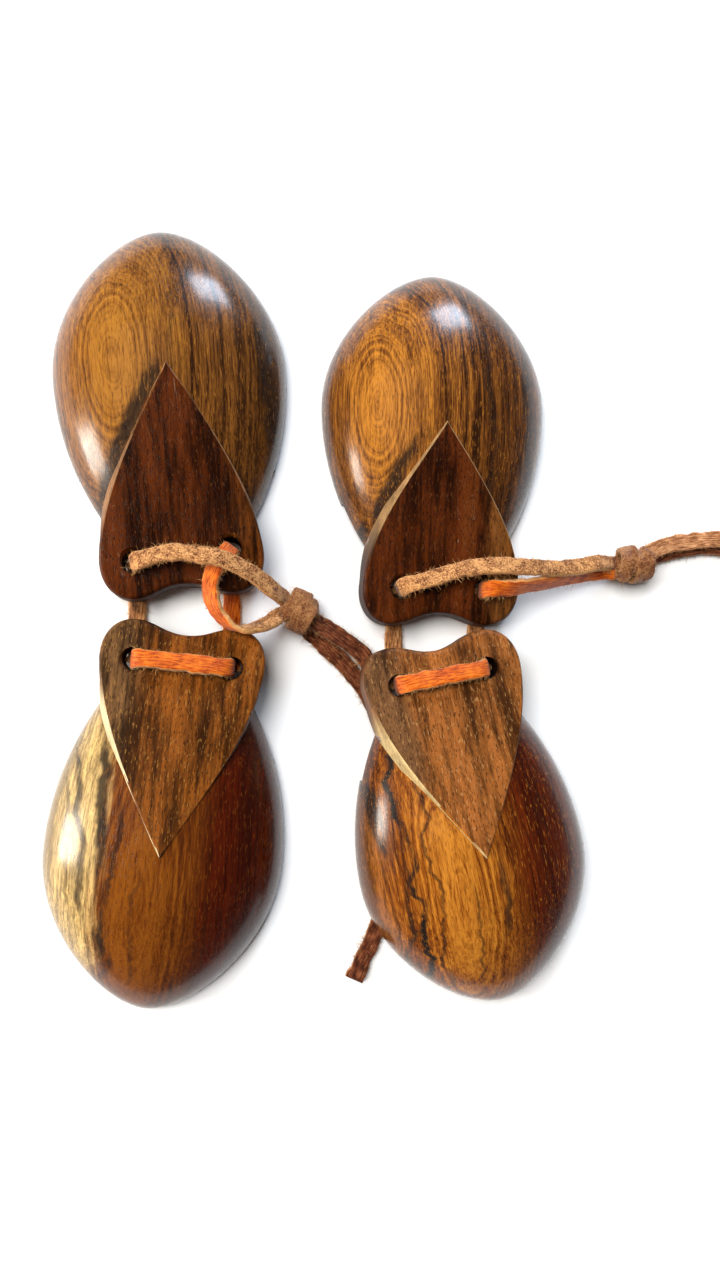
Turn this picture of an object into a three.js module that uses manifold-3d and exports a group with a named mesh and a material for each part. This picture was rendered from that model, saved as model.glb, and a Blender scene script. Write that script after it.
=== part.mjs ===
// Two pairs of wooden castanets, lying dome up and opened flat, each pair laced with one flat
// leather lace. Millimetres, +Z up, +Y along the shells, origin under the middle of the four shells.
//
// Each shell is described in its own frame: u across, v from the ear end to the tip, z up from
// the rim plane. The lower shell of a pair is the upper one mirrored across the pair's hinge line,
// so the two rims meet when the pair is folded shut.
import * as THREE from 'three';
import { mergeVertices } from 'three/addons/utils/BufferGeometryUtils.js';
import Module from 'manifold-3d';

const wasm = await Module();
wasm.setup();

// ---- driving dimensions ----
const SHELL = { halfWidth: 29, widest: 56.5, domeHeight: 18.2 };
const CUP = { start: 25.5, widest: 56.5, wall: 5.4, halfWidth: 23.5, depth: 11.5 };
const PLATE = { halfWidth: 19.4, earHeight: 9.8, tipHeight: 19.2 };
const EAR_RELIEF = { depth: 2.2, length: 31 };
const HOLE_RADIUS = 2.6;
const LACE = { width: 4.2, thickness: 1.7 };
const GAP = 0.3;
const HINGE_CLEARANCE = 0.15;
const DOME_RINGS = 20;
const DOME_ARC_STEPS = 16;

// One entry per pair: the length of its shells, where the hinge line is, how it turns in plan,
// how far each shell leans away from square to it, half the gap between the ears, and how high
// the lower shell lies.
// Each shell is carved by hand, so each has its own sideways shift along the hinge line, start of
// the dome, length of the ear plate, and places [u, v] of its two lace holes, a then b.
const PAIRS = {
  left: {
    length: 93.4, centre: [-33.2, 0.3], turn: -0.4, lean: 5.1, halfGap: 3.4, lowerLift: 0,
    upper: { shift: -0.3, domeStart: 3, plateLength: 54.3, holes: [[-11.6, 8.6], [11.6, 10.6]] },
    lower: { shift: 0.3, domeStart: 3, plateLength: 54.3, holes: [[11.6, 9.6], [-11.6, 9.6]] },
  },
  right: {
    length: 91.6, centre: [28, -4.6], turn: 5.6, lean: -5.7, halfGap: 1.8, lowerLift: 2.2,
    upper: { shift: 1.1, domeStart: 5, plateLength: 48.6, holes: [[-10, 8.6], [11, 8.6]] },
    lower: { shift: -1.1, domeStart: 5, plateLength: 53, holes: [[11, 9.4], [-11, 9.4]] },
  },
};

// ---- colours ----
const WOOD = { color: 0x6b3f1d, roughness: 0.3, metalness: 0 };
const SUEDE = { color: 0xb26a35, roughness: 0.85, metalness: 0 };

const group = new THREE.Group();

function addMesh(name, geometry, finish, parent = group) {
  const mesh = new THREE.Mesh(geometry, new THREE.MeshStandardMaterial(finish));
  mesh.name = name;
  parent.add(mesh);
  return mesh;
}

// ---- solids for the boolean work ----
function toSolid(geometry) {
  const bare = new THREE.BufferGeometry();
  bare.setAttribute('position', geometry.getAttribute('position').clone());
  bare.setIndex(geometry.index);
  const merged = mergeVertices(bare, 1e-4);
  return new wasm.Manifold(new wasm.Mesh({
    numProp: 3,
    vertProperties: new Float32Array(merged.getAttribute('position').array),
    triVerts: new Uint32Array(merged.index.array),
  }));
}

function toGeometry(solid) {
  const mesh = solid.getMesh();
  const geometry = new THREE.BufferGeometry();
  geometry.setAttribute('position', new THREE.BufferAttribute(mesh.vertProperties, 3));
  geometry.setIndex(new THREE.BufferAttribute(mesh.triVerts, 1));
  geometry.computeVertexNormals();
  return geometry;
}

// A closed pod along v, pointed at both ends. Its half width and its height follow
// cos(pi t / 2) to a power, where t runs from 0 at the widest place to 1 at either end, and its
// cross-section is a full ellipse, or the upper half of one closed by the flat z = 0.
function podGeometry({ start, widest, end, halfWidth, height, whole }) {
  const arc = whole ? 2 * Math.PI : Math.PI;
  const around = whole ? DOME_ARC_STEPS : DOME_ARC_STEPS + 1;
  const positions = [0, start, 0];
  for (let i = 1; i < DOME_RINGS; i += 1) {
    const v = (start + end) / 2 - (end - start) / 2 * Math.cos(Math.PI * i / DOME_RINGS);
    const t = Math.abs(v - widest) / (v > widest ? end - widest : widest - start);
    const fullness = Math.cos(Math.PI * t / 2);
    for (let j = 0; j < around; j += 1) {
      const angle = arc * j / DOME_ARC_STEPS;
      const u = halfWidth * fullness ** 0.57 * Math.cos(angle);
      positions.push(u, v, height * fullness ** 0.5 * Math.sin(angle));
    }
  }
  positions.push(0, end, 0);
  const last = positions.length / 3 - 1;
  const ring = (i, j) => 1 + (i - 1) * around + (j % around);
  const index = [];
  for (let j = 0; j < around; j += 1) {
    index.push(0, ring(1, j), ring(1, j + 1));
    index.push(last, ring(DOME_RINGS - 1, j + 1), ring(DOME_RINGS - 1, j));
    for (let i = 1; i < DOME_RINGS - 1; i += 1) {
      index.push(ring(i, j), ring(i + 1, j), ring(i + 1, j + 1));
      index.push(ring(i, j), ring(i + 1, j + 1), ring(i, j + 1));
    }
  }
  const geometry = new THREE.BufferGeometry();
  geometry.setAttribute('position', new THREE.Float32BufferAttribute(positions, 3));
  geometry.setIndex(index);
  return geometry;
}

// The ear plate: a pointed arch with two round lobes at the ear end and a shallow notch between.
function plateShape(length) {
  const w = PLATE.halfWidth;
  const notch = 2.8;
  const shape = new THREE.Shape();
  shape.moveTo(0, notch);
  shape.bezierCurveTo(w * 0.28, notch, w * 0.38, 0, w * 0.62, 0);
  shape.bezierCurveTo(w * 0.9, 0, w * 1.05, 5, w, 11);
  shape.bezierCurveTo(w * 0.93, 22, w * 0.62, 0.65 * length, 0, length);
  shape.bezierCurveTo(-w * 0.62, 0.65 * length, -w * 0.93, 22, -w, 11);
  shape.bezierCurveTo(-w * 1.05, 5, -w * 0.9, 0, -w * 0.62, 0);
  shape.bezierCurveTo(-w * 0.38, 0, -w * 0.28, notch, 0, notch);
  return shape;
}

const plateHeightAt = (v, length) => PLATE.earHeight
  + (PLATE.tipHeight - PLATE.earHeight) * v / length;

function plateGeometry(length) {
  const geometry = new THREE.ExtrudeGeometry(plateShape(length), {
    depth: 1, bevelEnabled: false, curveSegments: 8, steps: 1,
  });
  const position = geometry.getAttribute('position');
  for (let i = 0; i < position.count; i += 1) {
    if (position.getZ(i) > 0.5) position.setZ(i, plateHeightAt(position.getY(i), length));
  }
  return geometry;
}

function shellGeometry(length, { domeStart, plateLength, holes }) {
  const dome = toSolid(podGeometry({
    start: domeStart, widest: SHELL.widest, end: length,
    halfWidth: SHELL.halfWidth, height: SHELL.domeHeight, whole: false,
  }));
  const cup = toSolid(podGeometry({
    start: CUP.start, widest: CUP.widest, end: length - CUP.wall,
    halfWidth: CUP.halfWidth, height: CUP.depth, whole: true,
  }));
  let solid = dome.add(toSolid(plateGeometry(plateLength))).subtract(cup);
  const relief = new THREE.BoxGeometry(4 * SHELL.halfWidth, 2 * EAR_RELIEF.length,
    2 * EAR_RELIEF.depth);
  solid = solid.subtract(toSolid(relief));
  holes.forEach(([u, v]) => {
    const bore = new THREE.CylinderGeometry(HOLE_RADIUS, HOLE_RADIUS, 60, 20);
    bore.rotateX(Math.PI / 2);
    bore.translate(u, v, 0);
    solid = solid.subtract(toSolid(bore));
  });
  return toGeometry(solid);
}

// ---- laces ----
// A flat lace follows its points smoothly; at each point a third value set gives the way that
// its thickness faces, so that the lace can turn over along its length.
class LacePath extends THREE.CatmullRomCurve3 {
  constructor(points, faces) {
    super(points, false, 'centripetal');
    this.faces = new THREE.CatmullRomCurve3(faces, false, 'catmullrom');
  }

  computeFrenetFrames(segments) {
    const tangents = [];
    const normals = [];
    const binormals = [];
    for (let i = 0; i <= segments; i += 1) {
      const along = this.getUtoTmapping(i / segments);
      const tangent = this.getTangent(along);
      const face = this.faces.getPoint(along);
      const across = new THREE.Vector3().crossVectors(face, tangent).normalize();
      tangents.push(tangent);
      normals.push(across);
      binormals.push(new THREE.Vector3().crossVectors(tangent, across).normalize());
    }
    return { tangents, normals, binormals };
  }
}

function laceSection() {
  const w = LACE.width / 2;
  const h = LACE.thickness / 2;
  const edge = 0.4;
  return new THREE.Shape([
    [w, -h + edge], [w, h - edge], [w - edge, h], [-w + edge, h],
    [-w, h - edge], [-w, -h + edge], [-w + edge, -h], [w - edge, -h],
  ].map(([x, y]) => new THREE.Vector2(x, y)));
}

// Each route point is [x, y, z] with an optional face direction [x, y, z]; up is the default.
function laceGeometry(route, steps) {
  const points = route.map(([x, y, z]) => new THREE.Vector3(x, y, z));
  const faces = route.map(([, , , face]) => new THREE.Vector3(...(face || [0, 0, 1])));
  return new THREE.ExtrudeGeometry(laceSection(), {
    steps, bevelEnabled: false, extrudePath: new LacePath(points, faces),
  });
}

const HALF = LACE.thickness / 2;

// The stretch under one ear, in the pair's frame, from the hole at (p, q) to just short of the
// hinge line at (pEnd, 0): down the hole, round its edge and along the relief. lift is the height
// of the shell's rim plane, which the lace loses again before it reaches the hinge line.
function hingeStretch([p, q], pEnd, lift) {
  const way = Math.sign(q);
  const z = GAP + HALF;
  const at = (share) => p + (pEnd - p) * share;
  return laceGeometry([
    [p, q, lift + 6.4, [0, -way, 0]], [p, q, lift + 4.2, [0, -way, 0]],
    [p, q - 0.3 * way, lift + 1.9, [0, -0.8 * way, 0.5]],
    [at(0.1), q - 2.2 * way, lift + z, [0, -0.1 * way, 1]], [at(0.4), q * 0.6, lift * 0.6 + z],
    [at(0.8), q * 0.2, z], [pEnd, HINGE_CLEARANCE * way, z],
  ], 9);
}

// The strap over the ear plate of a lower shell: out of one hole, across and into the other.
function strapGeometry({ plateLength, holes: [[u1, v], [u0]] }) {
  const top = plateHeightAt(v, plateLength) + GAP + HALF + 0.35;
  return laceGeometry([
    [u0, v, 6.9, [-1, 0, 0]], [u0, v, 9.4, [-1, 0, 0]], [u0 + 0.6, v, top - 0.7, [-1, 0, 0.7]],
    [u0 + 2.4, v, top + 0.1], [(u0 + u1) / 2, v, top + 0.3], [u1 - 2.4, v, top + 0.1],
    [u1 - 0.6, v, top - 0.7, [1, 0, 0.7]], [u1, v, 9.4, [1, 0, 0]], [u1, v, 6.9, [1, 0, 0]],
  ], 18);
}

// ---- loose laces, in the object's frame: loops from the upper holes to the knot, and free ends ----
const LOOPS = {
  left: {
    a: [
      [-45.74, 11.32, 7.2, [-1, -0.25, 0]], [-45.74, 11.32, 10.6, [-1, -0.25, 0]],
      [-45.3, 11.1, 12.5, [-1, -0.2, 0.7]], [-44, 11.5, 13.6, [-0.4, 0, 1]],
      [-41.5, 12.3, 13.9], [-38.2, 13.2, 14.2], [-34.9, 13.5, 14.6], [-31.7, 13.2, 15],
      [-28.6, 12.7, 15.5], [-25.3, 12.1, 15.6], [-22.1, 11, 15.1], [-18.8, 9.5, 13.9],
      [-15.4, 7.4, 12], [-12.2, 5.1, 9.9], [-9.6, 3.3, 8.4],
    ],
    b: [
      [-22.78, 15.22, 7.2, [0.6, 0.8, 0]], [-22.78, 15.22, 10.6, [0.6, 0.8, 0]],
      [-23, 14.6, 12.3, [0.6, 0.8, 0.8]], [-23.9, 13.5, 13, [0.2, 0.3, 1]],
      [-25.3, 11.8, 13.1], [-26.6, 9.2, 13], [-27.4, 6.4, 12.8], [-27.4, 3.5, 12.6],
      [-26.5, 0.7, 12.4], [-24.8, -1.8, 12.2], [-22.4, -3.8, 12], [-19.6, -4.5, 11.8],
      [-16.7, -3.9, 10.5], [-13.9, -2.8, 8.8], [-11.2, -1.6, 7.2],
    ],
  },
  right: {
    a: [
      [18.93, 5.92, 7.2, [-0.9, -0.45, 0]], [18.93, 5.92, 10.6, [-0.9, -0.45, 0]],
      [19.3, 6.1, 12.4, [-0.9, -0.45, 0.8]], [20.6, 6.6, 13.4, [-0.3, -0.1, 1]],
      [23.2, 7.4, 13.9], [27.4, 8.5, 14.1], [31.6, 9.8, 14.3], [36.1, 10.8, 14.4],
      [40.8, 11.4, 14.5], [45.4, 11.4, 14.4], [50.2, 11.4, 13.6], [55.2, 11.4, 12.2],
      [60.4, 11.7, 10.6], [65.6, 12.5, 9.2], [69.7, 13.4, 8.3], [74.2, 14.4, 7.7],
    ],
    b: [
      [39.93, 5.88, 7.2, [-1, 0, 0]], [39.93, 5.88, 10.9, [-1, 0, 0]],
      [40.2, 5.9, 12.9, [-1, 0, 0.8]], [41.6, 5.9, 13.6, [-0.4, 0, 1]], [44.2, 6, 13.5],
      [47, 6.3, 13.1], [50, 6.8, 12.3], [53.2, 7.4, 11], [56.6, 8.1, 9.6], [60, 8.9, 8.2],
      [63.4, 9.8, 6.9], [66.8, 10.6, 5.8], [70, 11.3, 5], [72.6, 11.8, 4.6], [74.6, 12.3, 4.4],
    ],
  },
};

const TAILS = {
  left: {
    a: [
      [-1.8, -2.1, 4], [1.5, -3.9, 3.3], [4.8, -5.9, 3.05], [8.2, -8.2, 3.05],
      [11, -10.8, 3.05], [12.4, -14, 3.05], [12.8, -17.6, 3.05], [13.8, -21.2, 3.05],
      [16.1, -24.5, 3.05], [19.8, -27.4, 3], [24, -30, 2], [28.2, -33.2, 1],
      [32, -37.4, 1], [35.2, -42.4, 1], [38, -47.8, 1], [40.6, -53.2, 1], [42.6, -59, 1],
      [43.8, -65, 1], [44.2, -71, 1], [43.6, -76.6, 1],
    ],
    b: [
      [-3, -4.3, 1.3], [0.2, -7.1, 1], [3.2, -9.9, 1], [6.5, -13.1, 1], [9.6, -16.9, 1],
      [12.4, -21.2, 1], [15.6, -26.2, 1], [19.4, -31.4, 1], [22.6, -37, 1], [24.5, -43, 1],
      [24.9, -49.4, 1], [24, -55.8, 1], [21.9, -62, 1], [19.2, -68, 1], [16.4, -73.8, 1],
      [13.7, -79.5, 1], [11, -85.2, 1], [8.4, -90.8, 1],
    ],
  },
  right: {
    a: [
      [86.6, 17.5, 4.6], [91.7, 19.2, 3.5], [96.9, 20.1, 3.05], [101.4, 20.8, 3.05],
      [105.8, 21.1, 3.05], [110.4, 20.8, 3.05], [114.8, 19.2, 3.05], [118.2, 16, 2.8],
      [120, 11.6, 2], [120.6, 6.8, 1.2], [120.2, 1.8, 1], [119.2, -3.2, 1],
      [117.8, -8, 1], [116.8, -13, 1], [116.2, -18, 1], [116.2, -23, 1], [116.8, -28, 1],
      [117.8, -33, 1],
    ],
    b: [
      [86.8, 16, 1.6], [90.4, 17.2, 1], [94.6, 18.2, 1], [99, 19, 1], [103.4, 19.4, 1],
      [107.8, 19, 1], [111.6, 17, 1], [113.8, 13.4, 1], [114.4, 9, 1], [114, 4.4, 1],
      [113, -0.2, 1], [111.8, -4.8, 1], [111, -9.6, 1], [110.6, -14.6, 1],
      [110.6, -19.6, 1], [111.2, -24.4, 1], [112.2, -29, 1], [113.6, -33.6, 1],
    ],
  },
};

const KNOTS = {
  left: { centre: [-5.9, 0.6, 5], radii: [3.4, 6, 4.4] },
  right: { centre: [80.7, 13.7, 5.4], radii: [5.2, 5.2, 4.8] },
};

function knotGeometry({ centre, radii }) {
  const geometry = new THREE.SphereGeometry(1, 12, 8);
  geometry.scale(...radii);
  geometry.translate(...centre);
  return geometry;
}

// ---- assembly ----
const rad = THREE.MathUtils.degToRad;

function pairFrame({ centre, turn }) {
  const frame = new THREE.Group();
  frame.position.set(centre[0], centre[1], 0);
  frame.rotation.z = rad(turn);
  group.add(frame);
  return frame;
}

function shellFrame(pair, isUpper) {
  const frame = new THREE.Group();
  if (isUpper) {
    frame.position.set(pair.upper.shift, pair.halfGap, 0);
    frame.rotation.z = rad(pair.lean);
  } else {
    frame.position.set(pair.lower.shift, -pair.halfGap, pair.lowerLift);
    frame.rotation.z = Math.PI - rad(pair.lean);
  }
  frame.updateMatrix();
  return frame;
}

Object.entries(PAIRS).forEach(([side, pair]) => {
  const frame = pairFrame(pair);
  const upper = shellFrame(pair, true);
  const lower = shellFrame(pair, false);
  frame.add(upper, lower);

  addMesh(`${side}_upper_shell`, shellGeometry(pair.length, pair.upper), WOOD, upper);
  addMesh(`${side}_lower_shell`, shellGeometry(pair.length, pair.lower), WOOD, lower);
  addMesh(`${side}_lower_strap`, strapGeometry(pair.lower), SUEDE, lower);

  ['a', 'b'].forEach((end, i) => {
    const inPair = (shell, [u, v]) => new THREE.Vector3(u, v, 0).applyMatrix4(shell.matrix);
    const above = inPair(upper, pair.upper.holes[i]);
    const below = inPair(lower, pair.lower.holes[i]);
    const crossing = above.x + (below.x - above.x) * above.y / (above.y - below.y);
    const upperStretch = hingeStretch([above.x, above.y], crossing, 0);
    const lowerStretch = hingeStretch([below.x, below.y], crossing, pair.lowerLift);
    addMesh(`${side}_upper_hinge_lace_${end}`, upperStretch, SUEDE, frame);
    addMesh(`${side}_lower_hinge_lace_${end}`, lowerStretch, SUEDE, frame);
    addMesh(`${side}_loop_${end}`, laceGeometry(LOOPS[side][end], 20), SUEDE);
    addMesh(`${side}_tail_${end}`, laceGeometry(TAILS[side][end], 22), SUEDE);
  });
  addMesh(`${side}_knot`, knotGeometry(KNOTS[side]), SUEDE);
});

export default group;
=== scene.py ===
"""Two pairs of wooden castanets, opened flat and lying dome up, each pair laced with flat leather.

Shapes are worked out in millimetres and become metres when a mesh is made. A shell is described
in its own frame: u across, v from the ear end to the tip, z up from the rim plane.
"""

import math

import bpy
import numpy as np
from mathutils import Matrix, Vector


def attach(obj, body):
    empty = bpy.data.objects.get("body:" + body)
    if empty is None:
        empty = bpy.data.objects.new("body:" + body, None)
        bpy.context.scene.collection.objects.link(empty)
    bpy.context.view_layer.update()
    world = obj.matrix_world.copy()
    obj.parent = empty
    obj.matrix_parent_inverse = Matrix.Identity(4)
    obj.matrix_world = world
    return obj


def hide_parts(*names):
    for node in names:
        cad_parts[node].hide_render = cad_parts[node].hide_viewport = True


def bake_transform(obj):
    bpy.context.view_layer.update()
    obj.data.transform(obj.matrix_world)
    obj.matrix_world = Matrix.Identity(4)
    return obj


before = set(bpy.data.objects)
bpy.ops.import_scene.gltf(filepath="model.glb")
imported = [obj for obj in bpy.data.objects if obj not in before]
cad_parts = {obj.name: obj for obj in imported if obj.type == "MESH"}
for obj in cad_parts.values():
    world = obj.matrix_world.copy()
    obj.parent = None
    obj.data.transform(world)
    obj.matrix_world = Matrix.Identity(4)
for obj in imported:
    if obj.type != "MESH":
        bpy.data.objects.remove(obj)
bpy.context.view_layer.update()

MM = 0.001
UP = (0.0, 0.0, 1.0)

# ---------------------------------------------------------------- camera
CAMERA_AT = (-18.9, -19.9, 242.6)
CAMERA_LOOKS_AT = (10.0, -6.2, 0.0)
CAMERA_LENS = 26.97


def aim(place, target):
    """The turn that points an object's -Z from place at target, with its Y towards the tips."""
    ahead = (Vector(target) - Vector(place)).normalized()
    right = ahead.cross(Vector((0, 1, 0))).normalized()
    above = right.cross(ahead)
    turn = Matrix((right, above, -ahead)).transposed().to_4x4()
    return Matrix.Translation(Vector(place) * MM) @ turn


def make_camera():
    """A camera above the castanets, a little left of the middle, looking almost straight down."""
    data = bpy.data.cameras.new("camera")
    data.sensor_width = 36
    data.lens = CAMERA_LENS
    data.clip_start = 0.01
    camera = bpy.data.objects.new("camera", data)
    bpy.context.scene.collection.objects.link(camera)
    camera.matrix_world = aim(CAMERA_AT, CAMERA_LOOKS_AT)
    bpy.context.scene.camera = camera


make_camera()


# ---------------------------------------------------------------- meshes
def new_piece(name, points, faces):
    """A smooth mesh object of that name from points in millimetres, at the origin with no turn."""
    mesh = bpy.data.meshes.new(name)
    mesh.from_pydata(np.asarray(points) * MM, [], faces)
    mesh.polygons.foreach_set("use_smooth", np.full(len(mesh.polygons), True))
    mesh.update()
    piece = bpy.data.objects.new(name, mesh)
    bpy.context.scene.collection.objects.link(piece)
    return piece


def tube_faces(rings, around):
    """Quads between rings of points that close round, and a many-sided face over either end.

    Ring i holds points i * around to i * around + around - 1, and each quad joins neighbours in
    one ring to the same two in the next.
    """
    i, j = np.meshgrid(np.arange(rings - 1), np.arange(around), indexing="ij")
    k = (j + 1) % around
    quads = np.stack([i * around + j, i * around + k, (i + 1) * around + k, (i + 1) * around + j], -1)
    last = (rings - 1) * around
    ends = [list(range(around))[::-1], list(range(last, last + around))]
    return quads.reshape(-1, 4).tolist() + ends


def run_along(points):
    """How far along the line each point is."""
    return np.concatenate([[0], np.cumsum(np.linalg.norm(np.diff(points, axis=0), axis=1))])


FINE_STEPS = 4000


def smooth_line(rows, spacing):
    """Rows interpolated along a centripetal Catmull-Rom curve.

    The first three columns are the place, and set the pace: knots are spaced by the square root
    of the distance between points. Each output row is a blend of the four rows round it.
    """
    p = np.asarray(rows, float)
    p = np.vstack([2 * p[0] - p[1], p, 2 * p[-1] - p[-2]])
    gaps = np.linalg.norm(np.diff(p[:, :3], axis=0), axis=1)
    knots = np.concatenate([[0], np.cumsum(np.sqrt(gaps))])
    fine = np.linspace(knots[1], knots[-2], FINE_STEPS)
    i = np.clip(np.searchsorted(knots, fine, side="right") - 1, 1, len(p) - 3)
    t = fine[:, None]
    t0, t1, t2, t3 = (knots[i + k][:, None] for k in (-1, 0, 1, 2))
    p0, p1, p2, p3 = (p[i + k] for k in (-1, 0, 1, 2))
    a1 = ((t1 - t) * p0 + (t - t0) * p1) / (t1 - t0)
    a2 = ((t2 - t) * p1 + (t - t1) * p2) / (t2 - t1)
    a3 = ((t3 - t) * p2 + (t - t2) * p3) / (t3 - t2)
    b1 = ((t2 - t) * a1 + (t - t0) * a2) / (t2 - t0)
    b2 = ((t3 - t) * a2 + (t - t1) * a3) / (t3 - t1)
    line = ((t2 - t) * b1 + (t - t1) * b2) / (t2 - t1)
    run = run_along(line[:, :3])
    even = np.linspace(0, run[-1], max(8, int(run[-1] / spacing)))
    return np.stack([np.interp(even, run, column) for column in line.T], 1)


def soften(line, reach):
    """The line with each column averaged over its neighbours by a bell, exp(-(n / reach)^2 / 2)."""
    edge = 3 * reach
    steps = np.arange(-edge, edge + 1)
    bell = np.exp(-0.5 * (steps / reach) ** 2)
    bell /= bell.sum()
    padded = np.vstack([2 * line[0] - line[edge:0:-1], line, 2 * line[-1] - line[-2:-edge - 2:-1]])
    return np.stack([np.convolve(column, bell, "valid") for column in padded.T], 1)


def unit(vectors):
    """Each vector divided by its own length."""
    return vectors / np.maximum(np.linalg.norm(vectors, axis=-1, keepdims=True), 1e-9)


def wander(rng, count, scale):
    """A smooth random signal of unit size: random values every scale steps, joined softly."""
    values = rng.normal(0, 1, int(count / scale) + 4)
    at = np.arange(count) / scale
    i = at.astype(int)
    w = (1 - np.cos(math.pi * (at - i))) / 2
    return values[i] * (1 - w) + values[i + 1] * w


# ---------------------------------------------------------------- laces: shape
LACE_WIDTH = 4.4
LACE_THICKNESS = 1.7
LACE_SPACING = 0.45  # between one section and the next
SECTION_POINTS = 26
REST_HEIGHT = 0.03  # nothing in a lace goes lower than this
KNOT_NARROWING = 0.2  # the share of its width that a lace loses where a knot pulls it tight
EDGE_WANDER = ((0.13, 5), (0.07, 1.6))  # how far the cut edges wander, and over how many sections
THICKNESS_WANDER = (0.06, 7)
CUPPING = (0.12, 14)
LACE_UV_SCALE = 0.1  # centimetres

FIBRE_RINGS = np.array([-0.25, 0.3, 0.7, 1.0])  # how far along the hair each ring lies
FIBRE_TAPER = np.array([1.0, 0.9, 0.6, 0.2])
FIBRE_RADIUS = (0.03, 0.065)
FIBRE_SIDES = 3
FIBRE_CURL = 0.55


class Lace:
    """One flat lace along a route.

    A row is x, y, z, the way its smooth face looks, and its stage: 0 in a loop or strap, 1 in a
    knot and 2 in a free end.
    """

    def __init__(self, route, seed):
        line = soften(smooth_line(route, LACE_SPACING), 2)
        self.rng = np.random.default_rng(seed)
        self.middle = line[:, :3]
        self.along = unit(np.gradient(self.middle, axis=0))
        self.across = unit(np.cross(line[:, 3:6], self.along))
        self.face = np.cross(self.along, self.across)
        self.run = run_along(self.middle)
        self.stage = line[:, 6]
        in_knot = np.exp(-((self.stage - 1) / 0.45) ** 2)
        self.half_width = LACE_WIDTH / 2 * (1 - KNOT_NARROWING * in_knot)

    def length(self):
        return self.run[-1]

    def wave(self, size, scale):
        """A smooth random value for each section, of that size."""
        return size * wander(self.rng, len(self.middle), scale)

    def mesh(self, name):
        """The lace as a closed band.

        Its section is a rounded rectangle, |x|^4 + |y|^4 = 1, stretched to the lace's width and
        thickness. Each edge wanders in and out a little, and the band cups slightly.
        """
        count = len(self.middle)
        turn = 2 * math.pi * np.arange(SECTION_POINTS) / SECTION_POINTS
        x = np.sign(np.cos(turn)) * np.abs(np.cos(turn)) ** 0.5
        y = np.sign(np.sin(turn)) * np.abs(np.sin(turn)) ** 0.5
        left, right = (self.wave(*EDGE_WANDER[0]) + self.wave(*EDGE_WANDER[1]) for _ in range(2))
        flat = x * self.half_width[:, None]
        reach = flat + np.where(x > 0, right[:, None], -left[:, None]) * np.abs(x) ** 3
        lift = LACE_THICKNESS / 2 * y * (1 + self.wave(*THICKNESS_WANDER))[:, None]
        lift = lift + x * x * self.wave(*CUPPING)[:, None]
        points = (self.middle[:, None] + reach[..., None] * self.across[:, None]
                  + lift[..., None] * self.face[:, None])
        points[..., 2] = np.maximum(points[..., 2], REST_HEIGHT)
        piece = new_piece(name, points.reshape(-1, 3), tube_faces(count, SECTION_POINTS))
        mesh = piece.data
        place = np.stack([flat, np.broadcast_to(self.run[:, None], flat.shape)], -1).reshape(-1, 2)
        corners = np.zeros(len(mesh.loops), int)
        mesh.loops.foreach_get("vertex_index", corners)
        uv = (place[corners] * LACE_UV_SCALE).ravel()
        mesh.uv_layers.new(name="UVMap").data.foreach_set("uv", uv)
        for label, values in (
            ("grain_side", np.clip(0.5 + 1.2 * y, 0, 1)),
            ("edge", np.clip((np.abs(x) - 0.8) / 0.2, 0, 1)),
            ("stage", self.stage[:, None]),
        ):
            values = np.broadcast_to(values, flat.shape).astype(np.float32).ravel()
            mesh.attributes.new(label, "FLOAT", "POINT").data.foreach_set("value", values)
        return piece

    def fibres(self, name, count, suede=0.35):
        """Fine frayed fibres along both edges and on the rough face.

        Each is a tapering three-sided hair of four rings that starts in the lace, leans out and
        curls: centre = root + reach * (out * t + curl * t * t).
        """
        rng = self.rng
        at = rng.integers(3, len(self.middle) - 3, count)
        side = rng.choice([-1.0, 1.0], count)
        on_back = rng.random(count) < suede
        on_face, on_edge = rng.uniform(-0.95, 0.95, count), side * rng.uniform(0.93, 1.0, count)
        spread = np.where(on_back, on_face, on_edge)
        level = np.where(on_back, -0.44, rng.uniform(-0.4, 0.36, count))
        root = (self.middle[at] + self.across[at] * (spread * self.half_width[at])[:, None]
                + self.face[at] * (level * LACE_THICKNESS)[:, None])
        lean = rng.normal(0, 1, (count, 3))
        outward = np.where(on_back[:, None], -self.face[at] * 0.35, self.across[at] * side[:, None])
        out = unit(outward + 0.7 * self.along[at] * lean[:, :1] + 0.35 * self.face[at] * lean[:, 1:2])
        curl = unit(rng.normal(0, 1, (count, 3))) * FIBRE_CURL
        reach = rng.gamma(3.0, 0.20, count) + 0.2
        t = FIBRE_RINGS
        centre = root[:, None] + reach[:, None, None] * (
            out[:, None] * t[None, :, None] + curl[:, None] * (t * t)[None, :, None])
        first = unit(np.cross(out, curl + out[:, [1, 2, 0]]))
        second = np.cross(out, first)
        turn = 2 * math.pi * np.arange(FIBRE_SIDES) / FIBRE_SIDES
        thick = rng.uniform(*FIBRE_RADIUS, count)[:, None] * FIBRE_TAPER
        ring = (np.cos(turn)[:, None] * first[:, None, None]
                + np.sin(turn)[:, None] * second[:, None, None])
        points = centre[:, :, None] + thick[:, :, None, None] * ring
        points[..., 2] = np.maximum(points[..., 2], REST_HEIGHT + 0.02 * np.arange(FIBRE_SIDES))
        *quads, foot, tip = tube_faces(len(t), FIBRE_SIDES)
        start = len(t) * FIBRE_SIDES * np.arange(count)[:, None, None]
        hairs = [(start + np.array(faces)).reshape(-1, len(faces[0])).tolist()
                 for faces in (quads, [foot], [tip])]
        return new_piece(name, points.reshape(-1, 3), sum(hairs, []))


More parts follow.
